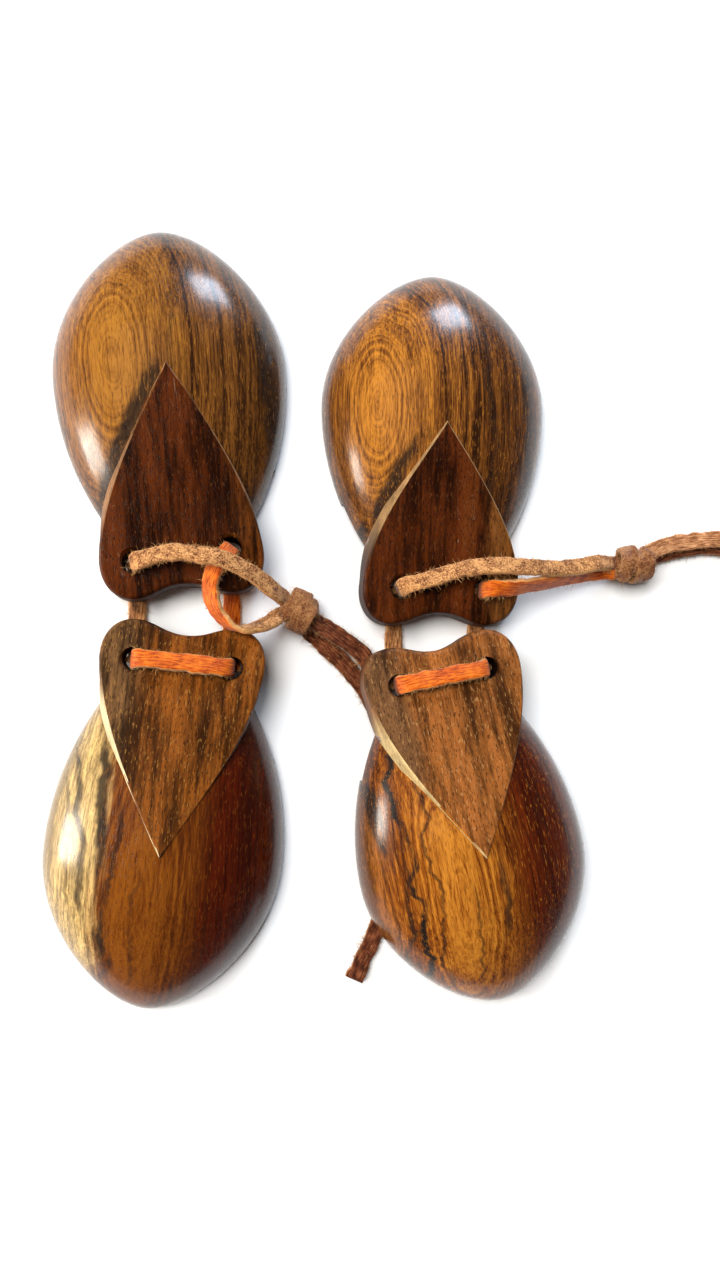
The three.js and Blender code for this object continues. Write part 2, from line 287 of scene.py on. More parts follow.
# ---------------------------------------------------------------- laces: routes
# Each row is x, y, z and, where the smooth face doesn't look up, the way that it looks.
LOOPS = {
    "left_a": [
        [-45.74, 11.32, 7.2, -1, -0.25, 0], [-45.74, 11.32, 10.6, -1, -0.25, 0],
        [-45.3, 11.1, 12.5, -1, -0.2, 0.7], [-44, 11.5, 13.6, -0.4, 0, 1],
        [-41.5, 12.3, 13.9], [-38.2, 13.2, 14.2], [-34.9, 13.5, 14.6], [-31.7, 13.2, 15],
        [-28.6, 12.7, 15.5], [-25.3, 12.1, 15.6], [-22.1, 11, 15.1], [-18.8, 9.5, 13.9],
        [-15.4, 7.4, 12], [-12.2, 5.1, 9.9], [-9.6, 3.3, 8.4],
    ],
    "left_b": [
        [-22.78, 15.22, 7.2, 0.6, 0.8, 0], [-22.78, 15.22, 10.6, 0.6, 0.8, 0],
        [-23, 14.6, 12.3, 0.6, 0.8, 0.8], [-23.9, 13.5, 13, 0.1, 0.3, 1],
        [-25.3, 11.8, 13.1, -0.2, 0.1, 1], [-26.6, 9.2, 13, -0.4, 0.1, 1],
        [-27.4, 6.4, 12.8, -0.55, 0, 1], [-27.4, 3.5, 12.6, -0.7, -0.2, 1],
        [-26.5, 0.7, 12.4, -0.8, -0.5, 0.8], [-24.8, -1.8, 12.2, -0.7, -0.8, 0.6],
        [-22.4, -3.8, 12, -0.4, -1, 0.2], [-19.6, -4.5, 11.8, 0, -1, -0.3],
        [-16.7, -3.9, 10.5, 0.3, -1, -0.6], [-13.9, -2.8, 8.8, 0.3, -0.8, -1],
        [-11.2, -1.6, 7.2, 0.2, -0.3, -1],
    ],
    "right_a": [
        [18.93, 5.92, 7.2, -0.9, -0.45, 0], [18.93, 5.92, 10.6, -0.9, -0.45, 0],
        [19.3, 6.1, 12.4, -0.9, -0.45, 0.8], [20.6, 6.6, 13.4, -0.3, -0.1, 1],
        [23.2, 7.4, 13.9], [27.4, 8.5, 14.1], [31.6, 9.8, 14.3], [36.1, 10.8, 14.4],
        [40.8, 11.4, 14.5], [45.4, 11.4, 14.4], [50.2, 11.4, 13.6], [55.2, 11.4, 12.2],
        [60.4, 11.7, 10.6], [65.6, 12.5, 9.2], [69.7, 13.4, 8.3], [74.2, 14.4, 7.7],
    ],
    "right_b": [
        [39.93, 5.88, 7.2, -1, 0, 0], [39.93, 5.88, 10.9, -1, 0, 0],
        [40.2, 5.9, 12.9, -1, 0, 0.8], [41.6, 5.9, 13.6, -0.4, -0.2, 1],
        [44.2, 6, 13.5, 0, -0.6, 1], [47, 6.3, 13.1, 0.1, -0.9, 0.9],
        [50, 6.8, 12.3, 0.2, -1, 0.8], [53.2, 7.4, 11, 0.3, -1, 0.8],
        [56.6, 8.1, 9.6, 0.3, -1, 0.8], [60, 8.9, 8.2, 0.3, -1, 0.8],
        [63.4, 9.8, 6.9, 0.3, -1, 0.8], [66.8, 10.6, 5.8, 0.3, -0.9, 0.9],
        [70, 11.3, 5, 0.2, -0.6, 1], [72.6, 11.8, 4.6, 0.1, -0.3, 1], [74.6, 12.3, 4.4],
    ],
}
TAILS = {
    "left_a": [
        [-1.8, -2.1, 4], [1.5, -3.9, 3.3], [4.8, -5.9, 3.05], [8.2, -8.2, 3.05],
        [11, -10.8, 3.05], [12.4, -14, 3.05], [12.8, -17.6, 3.05], [13.8, -21.2, 3.05],
        [16.1, -24.5, 3.05], [19.8, -27.4, 3], [24, -30, 2], [28.2, -33.2, 1],
        [32, -37.4, 1], [35.2, -42.4, 1], [38, -47.8, 1], [40.6, -53.2, 1], [42.6, -59, 1],
        [43.8, -65, 1], [44.2, -71, 1], [43.6, -76.6, 1],
    ],
    "left_b": [
        [-3, -4.3, 1.3], [0.2, -7.1, 1], [3.2, -9.9, 1], [6.5, -13.1, 1], [9.6, -16.9, 1],
        [12.4, -21.2, 1], [15.6, -26.2, 1], [19.4, -31.4, 1], [22.6, -37, 1], [24.5, -43, 1],
        [24.9, -49.4, 1], [24, -55.8, 1], [21.9, -62, 1], [19.2, -68, 1], [16.4, -73.8, 1],
        [13.7, -79.5, 1], [11, -85.2, 1], [8.4, -90.8, 1],
    ],
    "right_a": [
        [86.6, 17.5, 4.6], [91.7, 19.2, 3.5], [96.9, 20.1, 3.05], [101.4, 20.8, 3.05],
        [105.8, 21.1, 3.05], [110.4, 20.8, 3.05], [114.8, 19.2, 3.05], [118.2, 16, 2.8],
        [120, 11.6, 2], [120.6, 6.8, 1.2], [120.2, 1.8, 1], [119.2, -3.2, 1],
        [117.8, -8, 1], [116.8, -13, 1], [116.2, -18, 1], [116.2, -23, 1], [116.8, -28, 1],
        [117.8, -33, 1],
    ],
    "right_b": [
        [86.8, 16, 1.6], [90.4, 17.2, 1], [94.6, 18.2, 1], [99, 19, 1], [103.4, 19.4, 1],
        [107.8, 19, 1], [111.6, 17, 1], [113.8, 13.4, 1], [114.4, 9, 1], [114, 4.4, 1],
        [113, -0.2, 1], [111.8, -4.8, 1], [111, -9.6, 1], [110.6, -14.6, 1],
        [110.6, -19.6, 1], [111.2, -24.4, 1], [112.2, -29, 1], [113.6, -33.6, 1],
    ],
}

# A knot's centre, the way its laces run through it, and half its size along, across and up.
KNOTS = {
    "left": {"centre": (-5.9, 0.6, 4.9), "run": (0.93, -0.37), "half": (2.2, 4.7, 3.2)},
    "right": {"centre": (80.7, 13.7, 5.2), "run": (0.97, 0.24), "half": (3.0, 4.3, 3.5)},
}


def staged(rows, stage, over=1, usual=UP):
    """Route rows made whole: the face's way where it is left out, turned over if over is -1."""
    whole = np.array([[*row, *usual] if len(row) == 3 else [*row] for row in rows], float)
    whole[:, 3:] *= over
    return np.column_stack([whole, np.full(len(whole), float(stage))])


def knot_turn(knot, which):
    """One lace's way through a plain overhand knot.

    It runs in along the core, climbs out at the far side, goes once round the core as an
    ellipse that drifts back, and dives in at the near side to leave along the core above its
    first pass. Places are along, across and up in the knot, then the way the face looks.
    """
    k = 1 if which == "a" else -1
    along, across, up = knot["half"]
    rows = [(-along * 1.2, 1.2 * k, -0.35 * up, 0, 0, -1),
            (along * 0.6, 1.3 * k, -0.35 * up, 0, 0, -1),
            (along * 1.25, 1.1 * k + 0.15 * across, -0.1 * up, -0.5, 0, -0.8),
            (along * 1.1 + 0.3 * k, 0.5 * across + 0.4 * k, 0.45 * up, -0.4, -0.3, -0.7)]
    for degrees in range(80, 441, 40):
        a = math.radians(degrees)
        drift = along * (0.75 - 1.3 * (degrees - 80) / 360) + 0.75 * k
        rows.append((drift, across * math.cos(a), up * math.sin(a), 0, -math.cos(a), -math.sin(a)))
    rows += [(-along * 1.15 + 0.5 * k, -0.5 * across + 0.5 * k, 0.55 * up, 0.3, 0.3, -0.8),
             (-along * 1.25 + 0.3 * k, -0.2 * across + 1.0 * k, 0.1 * up, 0.6, 0, -0.7),
             (-along * 0.4, 1.2 * k, 0.12 * up, 0.1, 0, -1),
             (along, 1.4 * k, 0.1 * up, 0, 0, -1)]
    rows = np.array(rows)
    c, s = knot["run"]
    turn = np.array([[c, s, 0], [-s, c, 0], [0, 0, 1]])
    return np.hstack([rows[:, :3] @ turn + knot["centre"], rows[:, 3:] @ turn]).tolist()


def long_lace_route(side, which):
    """Hole, loop, knot and free end of one lace, as one line.

    The a laces show their rough side in the loop, and all but the right b lace show it in the
    knot and the free end too.
    """
    key = f"{side}_{which}"
    after = 1 if key == "right_b" else -1
    return np.vstack([
        staged(LOOPS[key][:-1], 0, -1 if which == "a" else 1, (0, 0.45, 1)),
        staged(knot_turn(KNOTS[side], which), 1, -after),
        staged(TAILS[key], 2, after),
    ])


# How the shells lie, in millimetres and degrees. centre, turn: the pair's own frame, whose x is the
# hinge line. lean: each shell's turn from square to it. half_gap: from the hinge line to the ears.
# shift, lift: how far a shell lies sideways and up. plate, holes: the ear plate's length and the
# lace holes' places, in the shell's frame.
PAIRS = {
    "left": {"length": 93.4, "centre": (-33.2, 0.3), "turn": -0.4, "lean": 5.1, "half_gap": 3.4,
             "upper": {"shift": -0.3, "lift": 0, "dome_start": 3, "plate": 54.3,
                       "holes": ((-11.6, 8.6), (11.6, 10.6))},
             "lower": {"shift": 0.3, "lift": 0, "dome_start": 3, "plate": 54.3,
                       "holes": ((11.6, 9.6), (-11.6, 9.6))}},
    "right": {"length": 91.6, "centre": (28, -4.6), "turn": 5.6, "lean": -5.7, "half_gap": 1.8,
              "upper": {"shift": 1.1, "lift": 0, "dome_start": 5, "plate": 48.6,
                        "holes": ((-10, 8.6), (11, 8.6))},
              "lower": {"shift": -1.1, "lift": 2.2, "dome_start": 5, "plate": 53,
                        "holes": ((11, 9.4), (-11, 9.4))}},
}
EAR_HEIGHT = 9.8
TIP_HEIGHT = 19.2
PLATE_HALF_WIDTH = 19.4
LACE_GAP = 0.3  # between a lace and the wood that it lies along
STRAP_SLACK = 0.35


def plate_top(v, plate):
    """The height of the ear plate: it rises evenly from the ear end to its tip."""
    return EAR_HEIGHT + (TIP_HEIGHT - EAR_HEIGHT) * v / plate


def rotation(degrees):
    """The matrix of a turn about z."""
    a = math.radians(degrees)
    return np.array([[math.cos(a), -math.sin(a), 0], [math.sin(a), math.cos(a), 0], [0, 0, 1]])


def pair_to_row(side, points):
    """Points from the pair's own frame, whose x is the hinge line, to where the pair lies."""
    pair = PAIRS[side]
    return np.asarray(points, float) @ rotation(pair["turn"]).T + (*pair["centre"], 0)


def shell_place(side, row):
    """Where a shell's own frame lies: its origin, and its turn in degrees."""
    pair, shell = PAIRS[side], PAIRS[side][row]
    upper = row == "upper"
    start = (shell["shift"], pair["half_gap"] * (1 if upper else -1), shell["lift"])
    lean = pair["lean"] if upper else 180 - pair["lean"]
    return pair_to_row(side, [start])[0], pair["turn"] + lean


def shell_to_row(side, row, points):
    """Points from the shell's own frame to where the shell lies."""
    origin, degrees = shell_place(side, row)
    return np.asarray(points, float) @ rotation(degrees).T + origin


def turned(degrees, ways):
    """Directions turned about z."""
    return np.asarray(ways, float) @ rotation(degrees).T


def hinge_route(side, which):
    """Down one hole, under the ears across the hinge line, and up the other shell's hole.

    In the pair's frame each half is a straight run that meets the other on the hinge line, held
    just under the relief cut in the ears.
    """
    pair = PAIRS[side]
    ends = []
    for row in ("upper", "lower"):
        hole = pair[row]["holes"]["ab".index(which)]
        place = shell_to_row(side, row, [(*hole, 0)])[0] - (*pair["centre"], 0)
        p, q, _ = place @ rotation(pair["turn"])
        ends.append((p, q, pair[row]["lift"]))
    (p0, q0, _), (p1, q1, _) = ends
    crossing = p0 + (p1 - p0) * q0 / (q0 - q1)
    z = LACE_GAP + LACE_THICKNESS / 2
    halves = []
    for p, q, lift in ends:
        way = math.copysign(1, q)
        across = crossing - p
        halves.append([
            (p, q, lift + 6.4, 0, -way, 0), (p, q, lift + 4.2, 0, -way, 0),
            (p, q - 0.3 * way, lift + 1.9, 0, -0.8 * way, 0.5),
            (p + 0.1 * across, q - 2.2 * way, lift + z, 0, -0.1 * way, 1),
            (p + 0.4 * across, q * 0.6, lift * 0.6 + z, 0, 0, 1),
            (p + 0.8 * across, q * 0.2, z, 0, 0, 1),
        ])
    rows = np.array(halves[0] + [(crossing, 0, z, 0, 0, 1)] + halves[1][::-1])
    rows = np.hstack([pair_to_row(side, rows[:, :3]), turned(pair["turn"], rows[:, 3:])])
    return staged(rows, 0)


def strap_route(side):
    """Out of one hole of a lower shell, across its ear plate and into the other hole."""
    shell = PAIRS[side]["lower"]
    (u1, v), (u0, _) = shell["holes"]
    top = plate_top(v, shell["plate"]) + LACE_GAP + LACE_THICKNESS / 2 + STRAP_SLACK
    rows = np.array([
        (u0, v, 6.9, -1, 0, 0), (u0, v, 9.4, -1, 0, 0), (u0 + 0.6, v, top - 0.7, -1, 0, 0.7),
        (u0 + 2.4, v, top + 0.1, 0, -0.3, 1), ((u0 + u1) / 2, v, top + 0.3, 0, -0.4, 1),
        (u1 - 2.4, v, top + 0.1, 0, -0.3, 1), (u1 - 0.6, v, top - 0.7, 1, 0, 0.7),
        (u1, v, 9.4, 1, 0, 0), (u1, v, 6.9, 1, 0, 0)])
    _, degrees = shell_place(side, "lower")
    rows = np.hstack([shell_to_row(side, "lower", rows[:, :3]), turned(degrees, rows[:, 3:])])
    return staged(rows, 0)


LONG_LACE_FIBRES, STRAP_FIBRES, STRAND_FIBRES = 1500, 260, 160
laces = {}


def make_long_laces():
    """The four loose laces: cords that ride on the upper shells."""
    for number, key in enumerate(LOOPS):
        side, which = key.split("_")
        lace = Lace(long_lace_route(side, which), seed=40 + number)
        band = lace.mesh(f"{side}_lace_{which}")
        fuzz = lace.fibres(f"{side}_lace_{which}_fibres", LONG_LACE_FIBRES)
        knot = [f"{side}_knot"] if which == "a" else []
        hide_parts(f"{side}_loop_{which}", f"{side}_tail_{which}", *knot)
        for piece in (band, fuzz):
            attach(piece, f"{side}_upper")
        laces[key] = (band, fuzz)


def make_short_laces():
    """The strands under the ears and the straps over the lower ears."""
    for number, side in enumerate(PAIRS):
        lace = Lace(strap_route(side), seed=60 + number)
        band = lace.mesh(f"{side}_strap")
        fuzz = lace.fibres(f"{side}_strap_fibres", STRAP_FIBRES)
        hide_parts(f"{side}_lower_strap")
        for piece in (band, fuzz):
            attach(piece, f"{side}_lower")
        laces[f"{side}_strap"] = (band, fuzz)
        for which in "ab":
            lace = Lace(hinge_route(side, which), seed=70 + 2 * number + (which == "b"))
            band = lace.mesh(f"{side}_hinge_strand_{which}")
            fuzz = lace.fibres(f"{side}_hinge_strand_{which}_fibres", STRAND_FIBRES)
            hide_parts(f"{side}_upper_hinge_lace_{which}", f"{side}_lower_hinge_lace_{which}")
            for piece in (band, fuzz):
                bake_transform(piece)
            laces[f"{side}_hinge_{which}"] = (band, fuzz)


make_long_laces()
make_short_laces()

# ---------------------------------------------------------------- shells
HALF_WIDTH = 29.0
DOME_HEIGHT = 18.2
WIDEST = 56.5  # where along v a pod is widest
OUTLINE_POWER, PROFILE_POWER = 0.57, 0.5
CUP = {"start": 25.5, "wall": 5.4, "half_width": 23.5, "depth": 11.5}
RELIEF_DEPTH = 2.2
RELIEF_LENGTH = 31.0
HOLE_RADIUS = 2.6
HOLE_SIDES = 48
NOTCH_DEPTH = 2.8
EAR_EDGE_ROUND = 1.5
WIDE_SIDE = {"round": 0.8, "lean": 1.2}
NARROW_SIDE = {"round": 0.4, "lean": 0.4}
LEAN_HEIGHT = 2.6
SHARP_ANGLE = 32


def pod(start, end, half_width, height, whole, rings=150, around=180):
    """A pod along v, pointed at both ends.

    t runs from 0 at the widest place to 1 at either end, the half width follows
    cos(pi t / 2) ^ 0.57 and the height cos(pi t / 2) ^ 0.5, and the section is an ellipse, or
    its upper half closed by the flat z = 0.
    """
    v = (start + end) / 2 - (end - start) / 2 * np.cos(math.pi * np.arange(1, rings) / rings)
    t = np.abs(v - WIDEST) / np.where(v > WIDEST, end - WIDEST, WIDEST - start)
    fullness = np.cos(math.pi * t / 2)
    arc = np.arange(around + (not whole)) * (2 if whole else 1) * math.pi / around
    u = half_width * np.outer(fullness ** OUTLINE_POWER, np.cos(arc))
    z = height * np.outer(fullness ** PROFILE_POWER, np.sin(arc))
    points = np.stack([u, np.broadcast_to(v[:, None], u.shape), z], -1).reshape(-1, 3)
    many = len(arc)
    i, j = np.meshgrid(np.arange(rings - 2), np.arange(many), indexing="ij")
    k = (j + 1) % many
    quads = np.stack([i * many + j, (i + 1) * many + j, (i + 1) * many + k, i * many + k], -1)
    m = np.arange(many)
    after, end_row = (m + 1) % many, (rings - 2) * many
    first = np.stack([np.full(many, len(points)), m, after], 1)
    last = np.stack([np.full(many, len(points) + 1), end_row + after, end_row + m], 1)
    points = np.vstack([points, [(0, start, 0), (0, end, 0)]])
    return points, quads.reshape(-1, 4).tolist() + first.tolist() + last.tolist()


def bezier(a, b, c, d, steps):
    """(1 - t)^3 a + 3 t (1 - t)^2 b + 3 t^2 (1 - t) c + t^3 d, for t from 0 up to 1."""
    t = np.linspace(0, 1, steps, endpoint=False)[:, None]
    a, b, c, d = (np.array(p, float) for p in (a, b, c, d))
    return (1 - t) ** 3 * a + 3 * t * (1 - t) ** 2 * b + 3 * t * t * (1 - t) * c + t ** 3 * d


def plate_outline(length, steps=26):
    """The ear plate's outline: a pointed arch with two round lobes and a shallow notch."""
    w = PLATE_HALF_WIDTH
    curves = [
        ((0, NOTCH_DEPTH), (w * 0.28, NOTCH_DEPTH), (w * 0.38, 0), (w * 0.62, 0)),
        ((w * 0.62, 0), (w * 0.9, 0), (w * 1.05, 5), (w, 11)),
        ((w, 11), (w * 0.93, 22), (w * 0.62, 0.65 * length), (0, length)),
    ]
    right = np.vstack([bezier(*c, steps) for c in curves])
    left = right[1:][::-1] * (-1, 1)
    return np.vstack([right, [(0, length)], left])


def plate_solid(length, wide_side):
    """The ear plate: its outline carried up a profile whose top edge is a quarter round.

    The round grows from the narrow or wide side's radius along the V to EAR_EDGE_ROUND round the
    ears. Along the V the wall leans out by its side's lean, over LEAN_HEIGHT.
    """
    outline = plate_outline(length)
    tangent = unit(np.roll(outline, -1, 0) - np.roll(outline, 1, 0))
    inward = np.stack([-tangent[:, 1], tangent[:, 0]], 1)
    inward[np.argmax(outline[:, 1])] = (0, -1)
    v, on_wide = outline[:, 1], outline[:, 0] * wide_side > 0
    ear = np.clip(1 - v / 16, 0, 1)
    soft = np.where(on_wide, WIDE_SIDE["round"], NARROW_SIDE["round"]) * (1 - ear)
    soft = soft + EAR_EDGE_ROUND * ear
    soft = np.convolve(np.concatenate([soft[-4:], soft, soft[:4]]), np.ones(9) / 9, "valid")
    top = plate_top(v, length)
    along_v = np.clip((v - 12) / 10, 0, 1) * np.clip((length + 3 - v) / 12, 0, 1)
    lean_out = along_v * np.where(on_wide, WIDE_SIDE["lean"], NARROW_SIDE["lean"])
    foot = outline - inward * lean_out[:, None]
    rings = [np.column_stack([foot, np.zeros(len(outline))]),
             np.column_stack([foot, top - soft - LEAN_HEIGHT])]
    for a in np.linspace(0, math.pi / 2, 7):
        inset = soft * (1 - math.cos(a))
        drop = soft * (1 - math.sin(a))
        rings.append(np.column_stack([outline + inward * inset[:, None], top - drop]))
    return np.vstack(rings), tube_faces(len(rings), len(outline))


def hole_solid(u, v, top):
    """A lace hole's cutter: a cylinder that flares at both ends, where the lace has worn it."""
    low = RELIEF_DEPTH
    profile = np.array([
        (-2, 0.9), (low, 0.9), (low + 0.4, 0.35), (low + 1.1, 0), (top - 1.6, 0),
        (top - 0.7, 0.12), (top - 0.1, 0.45), (top + 0.6, 1.0), (top + 4, 1.0)])
    heights, radius = profile[:, :1], HOLE_RADIUS + profile[:, 1:]
    turn = 2 * math.pi * np.arange(HOLE_SIDES) / HOLE_SIDES
    points = np.stack([u + radius * np.cos(turn), v + radius * np.sin(turn),
                       np.broadcast_to(heights, (len(heights), HOLE_SIDES))], -1)
    return points.reshape(-1, 3), tube_faces(len(heights), HOLE_SIDES)


def block_solid(u, v, z):
    """A plain box cutter, between the given limits."""
    points = [(u[i], v[j], z[k]) for k in (0, 1) for i, j in ((0, 0), (1, 0), (1, 1), (0, 1))]
    return np.array(points, float), tube_faces(2, 4)


def as_object(points, faces):
    """A nameless object in millimetres, for cutting with."""
    mesh = bpy.data.meshes.new("blank")
    mesh.from_pydata(np.asarray(points).tolist(), [], faces)
    mesh.update()
    blank = bpy.data.objects.new("blank", mesh)
    bpy.context.scene.collection.objects.link(blank)
    return blank


def carve(solid, *steps):
    """The solid after each step: ('UNION' or 'DIFFERENCE', another solid)."""
    body = as_object(*solid)
    others = []
    for operation, other in steps:
        blank = as_object(*other)
        others.append(blank)
        cut = body.modifiers.new(operation, "BOOLEAN")
        cut.operation = operation
        cut.object = blank
        cut.solver = "MANIFOLD"
    bpy.context.view_layer.update()
    made = body.evaluated_get(bpy.context.evaluated_depsgraph_get()).to_mesh()
    points = np.zeros(len(made.vertices) * 3)
    made.vertices.foreach_get("co", points)
    faces = [tuple(p.vertices) for p in made.polygons]
    for blank in (body, *others):
        mesh = blank.data
        bpy.data.objects.remove(blank)
        bpy.data.meshes.remove(mesh)
    return points.reshape(-1, 3), faces


def inside(points, outline):
    """Whether each point is inside: a ray to the right crosses the outline an odd number of times."""
    a, b = outline, np.roll(outline, -1, 0)
    x, y = points[:, :1], points[:, 1:2]
    spans = (a[:, 1] > y) != (b[:, 1] > y)
    rise = np.where(b[:, 1] == a[:, 1], 1e-9, b[:, 1] - a[:, 1])
    at = a[:, 0] + (y - a[:, 1]) / rise * (b[:, 0] - a[:, 0])
    return (spans & (x < at)).sum(1) % 2 == 1


DOME, TOP, WALL, UNDERSIDE, BORE = range(5)


def on_dome(centre, way, start, end):
    """Which faces lie on the pod itself: close to its surface and looking the way it looks."""
    v = centre[:, 1]
    t = np.abs(v - WIDEST) / np.where(v > WIDEST, end - WIDEST, WIDEST - start)
    fullness = np.clip(np.cos(math.pi * np.clip(t, 0, 1) / 2), 1e-3, 1)
    across = centre[:, 0] / (HALF_WIDTH * fullness ** OUTLINE_POWER)
    up = centre[:, 2] / (DOME_HEIGHT * fullness ** PROFILE_POWER)
    outward = unit(np.column_stack([across / HALF_WIDTH, up / DOME_HEIGHT]))
    facing = (outward * way[:, (0, 2)]).sum(1)
    return (np.abs(np.hypot(across, up) - 1) < 0.03) & (facing > 0.8)


def shell_zones(mesh, shell, length):
    """Which finish each face has, from its place and the way it looks in the shell's frame.

    The plate's top looks up, or at least a little up on the rounded edge of the ears. Its walls
    are close to the outline, below the top and not on the dome. The bores are close to a hole.
    """
    count = len(mesh.polygons)
    centre, way = np.zeros(count * 3), np.zeros(count * 3)
    mesh.polygons.foreach_get("center", centre)
    mesh.polygons.foreach_get("normal", way)
    centre, way = centre.reshape(-1, 3), way.reshape(-1, 3)
    outline = plate_outline(shell["plate"])
    within = inside(centre[:, :2], outline)
    near = np.full(count, 1e9)
    for u, v in outline:
        near = np.minimum(near, np.hypot(centre[:, 0] - u, centre[:, 1] - v))
    level = centre[:, 2] - plate_top(centre[:, 1], shell["plate"])
    zone = np.full(count, DOME)
    looks_up = way[:, 2]
    top = within & (level > -1.9) & (looks_up > np.where(centre[:, 1] < 13, 0.2, 0.93))
    wall = ~top & (near < 1.9) & (level < 0.1) & (level > -12) & (looks_up < 0.92)
    wall &= ~on_dome(centre, way, shell["dome_start"], length)
    zone[wall] = WALL
    zone[top] = TOP
    zone[looks_up < -0.05] = UNDERSIDE
    for u, v in shell["holes"]:
        ring = np.hypot(centre[:, 0] - u, centre[:, 1] - v)
        zone[(ring < HOLE_RADIUS + 0.2) & (np.abs(looks_up) < 0.75)] = BORE
    return zone


def make_shell(side, row):
    """One shell: dome and ear plate joined, then the cup, ear relief and lace holes cut out."""
    shell, length = PAIRS[side][row], PAIRS[side]["length"]
    cup = pod(CUP["start"], length - CUP["wall"], CUP["half_width"], CUP["depth"], True)
    steps = [
        ("UNION", plate_solid(shell["plate"], -1 if row == "upper" else 1)),
        ("DIFFERENCE", cup),
        ("DIFFERENCE", block_solid((-60, 60), (-20, RELIEF_LENGTH), (-20, RELIEF_DEPTH))),
    ]
    for u, v in shell["holes"]:
        steps.append(("DIFFERENCE", hole_solid(u, v, plate_top(v, shell["plate"]))))
    points, faces = carve(pod(shell["dome_start"], length, HALF_WIDTH, DOME_HEIGHT, False), *steps)
    scratch = bpy.data.meshes.new("scratch")
    scratch.from_pydata(points.tolist(), [], faces)
    zone = shell_zones(scratch, shell, length)
    bpy.data.meshes.remove(scratch)
    piece = new_piece(f"{side}_{row}_castanet", shell_to_row(side, row, points), faces)
    piece.data.polygons.foreach_set("material_index", zone)
    piece.data.set_sharp_from_angle(angle=math.radians(SHARP_ANGLE))
    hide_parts(f"{side}_{row}_shell")
    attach(piece, f"{side}_{row}")
    return piece


shells = {(side, row): make_shell(side, row) for side in PAIRS for row in ("upper", "lower")}


# ---------------------------------------------------------------- finishes
def scaled(colour, *factors):
    """The colour made lighter or darker, by one factor or by one for each channel."""
    return tuple(float(c) for c in np.minimum(np.array(colour) * factors, 0.9))


class Finish:
    """A material's nodes, made one at a time, each with the inputs it is given by name or order."""

    def __init__(self, name):
        self.material = bpy.data.materials.new(name)
        self.material.use_nodes = True
        self.tree = self.material.node_tree
        self.surface = self.tree.nodes["Principled BSDF"]

    def node(self, kind, inputs=(), **settings):
        node = self.tree.nodes.new("ShaderNode" + kind)
        for key, value in settings.items():
            setattr(node, key, value)
        pairs = inputs.items() if isinstance(inputs, dict) else enumerate(inputs)
        for key, value in pairs:
            self.give(node.inputs[key], value)
        return node

    def give(self, socket, value):
        if isinstance(value, bpy.types.NodeSocket):
            self.tree.links.new(value, socket)
        elif value is not None:
            socket.default_value = value

    def math(self, operation, *values):
        return self.node("Math", values, operation=operation).outputs[0]

    def noise(self, where, scale, detail=3.0, roughness=0.55, dimensions="3D"):
        inputs = {"Scale": scale, "Detail": detail, "Roughness": roughness}
        inputs["W" if dimensions == "1D" else "Vector"] = where
        return self.node("TexNoise", inputs, noise_dimensions=dimensions).outputs["Fac"]

    def between(self, value, low, high, out_low=0.0, out_high=1.0):
        """The value taken from low..high to out_low..out_high with soft ends."""
        limits = (value, low, high, out_low, out_high)
        return self.node("MapRange", limits, interpolation_type="SMOOTHSTEP").outputs[0]

    def mix(self, share, a, b):
        """Colour a, going to colour b as share goes from 0 to 1."""
        node = self.node("Mix", data_type="RGBA")
        for key, value in ((0, share), (6, a), (7, b)):
            if isinstance(value, tuple):
                value = (*value, 1.0)
            self.give(node.inputs[key], value)
        return node.outputs[2]

    def ramp(self, value, *stops):
        """A colour for the value: stops are (place, colour)."""
        node = self.node("ValToRGB", (value,))
        marks = node.color_ramp.elements
        while len(marks) < len(stops):
            marks.new(0.5)
        for mark, (place, colour) in zip(marks, stops):
            mark.position = place
            mark.color = (*colour, 1.0)
        return node.outputs[0]

    def bump(self, height, distance, strength):
        inputs = {"Height": height, "Distance": distance, "Strength": strength}
        return self.node("Bump", inputs).outputs[0]

    def finish(self, **sockets):
        """The material, with the shader's sockets set: Base_Color is the socket Base Color."""
        for name, value in sockets.items():
            self.give(self.surface.inputs[name.replace("_", " ")], value)
        return self.material


def shell_coordinates(finish, side, row):
    """Places in the shell's own frame, in centimetres, so that the grain follows its v."""
    origin, degrees = shell_place(side, row)
    place = finish.node("TexCoord").outputs["Object"]
    mapping = finish.node("Mapping", (place,), vector_type="TEXTURE")
    mapping.inputs["Location"].default_value = tuple(origin * MM)
    mapping.inputs["Rotation"].default_value = (0, 0, math.radians(degrees))
    mapping.inputs["Scale"].default_value = (0.01, 0.01, 0.01)
    return mapping.outputs[0]


def stretched(finish, place, scale, shift=(0, 0, 0)):
    """Places scaled along each axis, then shifted."""
    mapping = finish.node("Mapping", (place,), vector_type="POINT")
    mapping.inputs["Scale"].default_value = scale
    mapping.inputs["Location"].default_value = shift
    return mapping.outputs[0]


def grain(finish, place, scale, detail, roughness=0.55, shift=(0, 0, 0)):
    """Noise stretched along the axes: scale is how many of its waves fit in one unit of each."""
    return finish.noise(stretched(finish, place, scale, shift), 1.0, detail, roughness)
